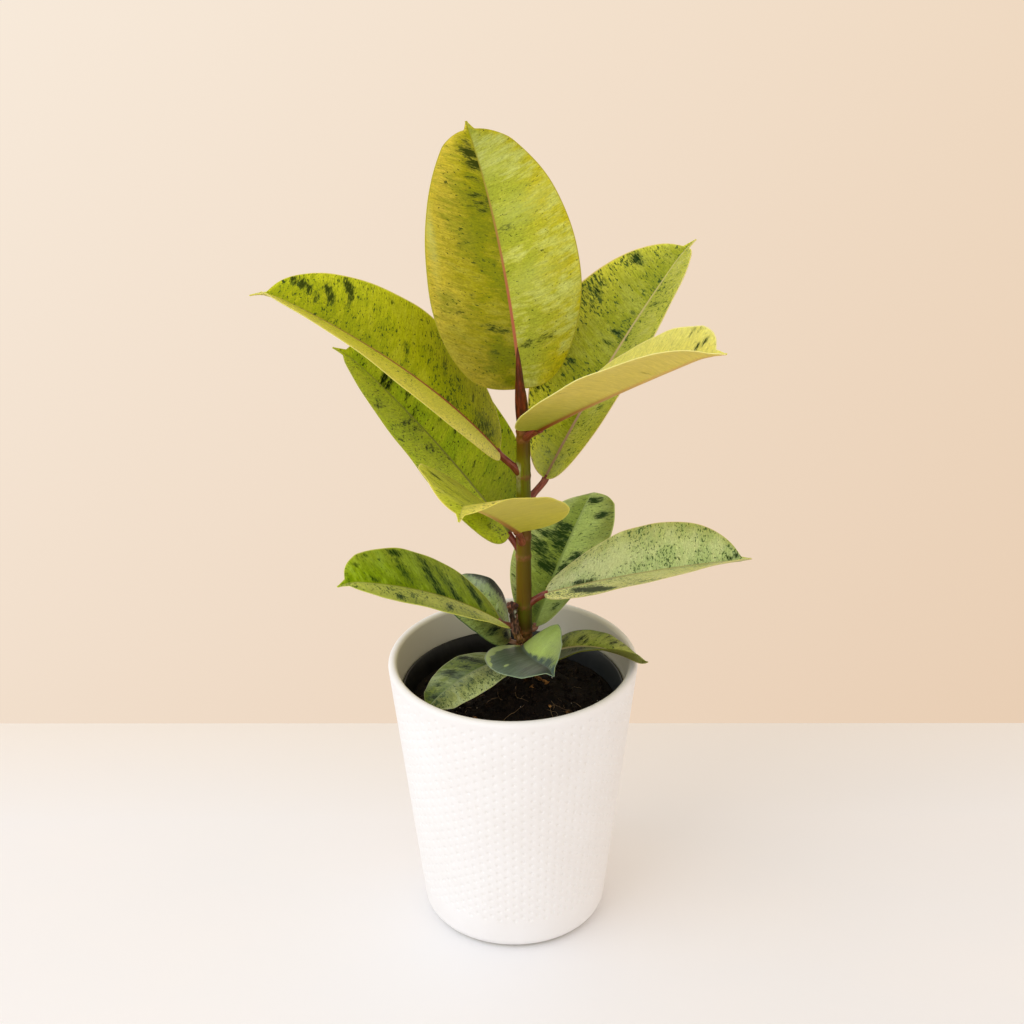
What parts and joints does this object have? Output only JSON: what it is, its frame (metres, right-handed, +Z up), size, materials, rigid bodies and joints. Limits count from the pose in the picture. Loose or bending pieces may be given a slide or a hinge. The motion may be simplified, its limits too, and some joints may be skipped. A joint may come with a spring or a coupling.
{
  "type": "potted rubber plant",
  "caption": "Young variegated rubber plant with an upright stem and broad waxy leaves, rooted in a black nursery pot that stands inside a tapered white ceramic planter.",
  "frame": {"origin": "centre of the planter's flat underside", "axes": "+Z up along the planter's axis, -Y to the front of the plant, +X to the right as seen from the front"},
  "size_m": [0.2721, 0.2362, 0.4395],
  "materials": {
    "planter": "matte white",
    "nursery_pot": "black, slightly satin",
    "soil": "dark, damp and crumbly",
    "stem": "smooth young bark, olive to brown",
    "bud_sheath": "satin, dark red-brown",
    "dried_shoot": "dry and shrivelled",
    "leaf_stalk": "satin, red-brown",
    "leaf_01": "waxy, variegated green",
    "leaf_02": "waxy, variegated green",
    "leaf_03": "waxy, variegated green",
    "leaf_04": "waxy, variegated green",
    "leaf_05": "waxy, variegated green",
    "leaf_06": "waxy, variegated green",
    "leaf_07": "waxy, variegated green",
    "leaf_08": "waxy, variegated green",
    "leaf_09": "waxy, variegated green",
    "leaf_10": "waxy, variegated green",
    "leaf_11": "waxy, variegated green",
    "leaf_12": "waxy, variegated green",
    "leaf_13": "waxy, variegated green"
  },
  "bodies": {
    "root": {"planter": "planter", "nursery_pot": "nursery_pot", "soil": "soil", "stem": "stem", "bud_sheath": "bud_sheath", "dried_shoot": "dried_shoot", "leaf_01": "leaf_01", "leaf_02": "leaf_02", "leaf_03": "leaf_03", "leaf_04": "leaf_04", "leaf_05": "leaf_05", "leaf_06": "leaf_06", "leaf_07": "leaf_07", "leaf_08": "leaf_08", "leaf_09": "leaf_09", "leaf_10": "leaf_10", "leaf_11": "leaf_11", "leaf_12": "leaf_12", "leaf_13": "leaf_13", "stalk_01": "leaf_stalk", "stalk_02": "leaf_stalk", "stalk_03": "leaf_stalk", "stalk_04": "leaf_stalk", "stalk_05": "leaf_stalk", "stalk_06": "leaf_stalk", "stalk_07": "leaf_stalk", "stalk_08": "leaf_stalk", "stalk_09": "leaf_stalk", "stalk_10": "leaf_stalk", "stalk_11": "leaf_stalk", "stalk_12": "leaf_stalk", "stalk_13": "leaf_stalk"}
  },
  "joints": []
}
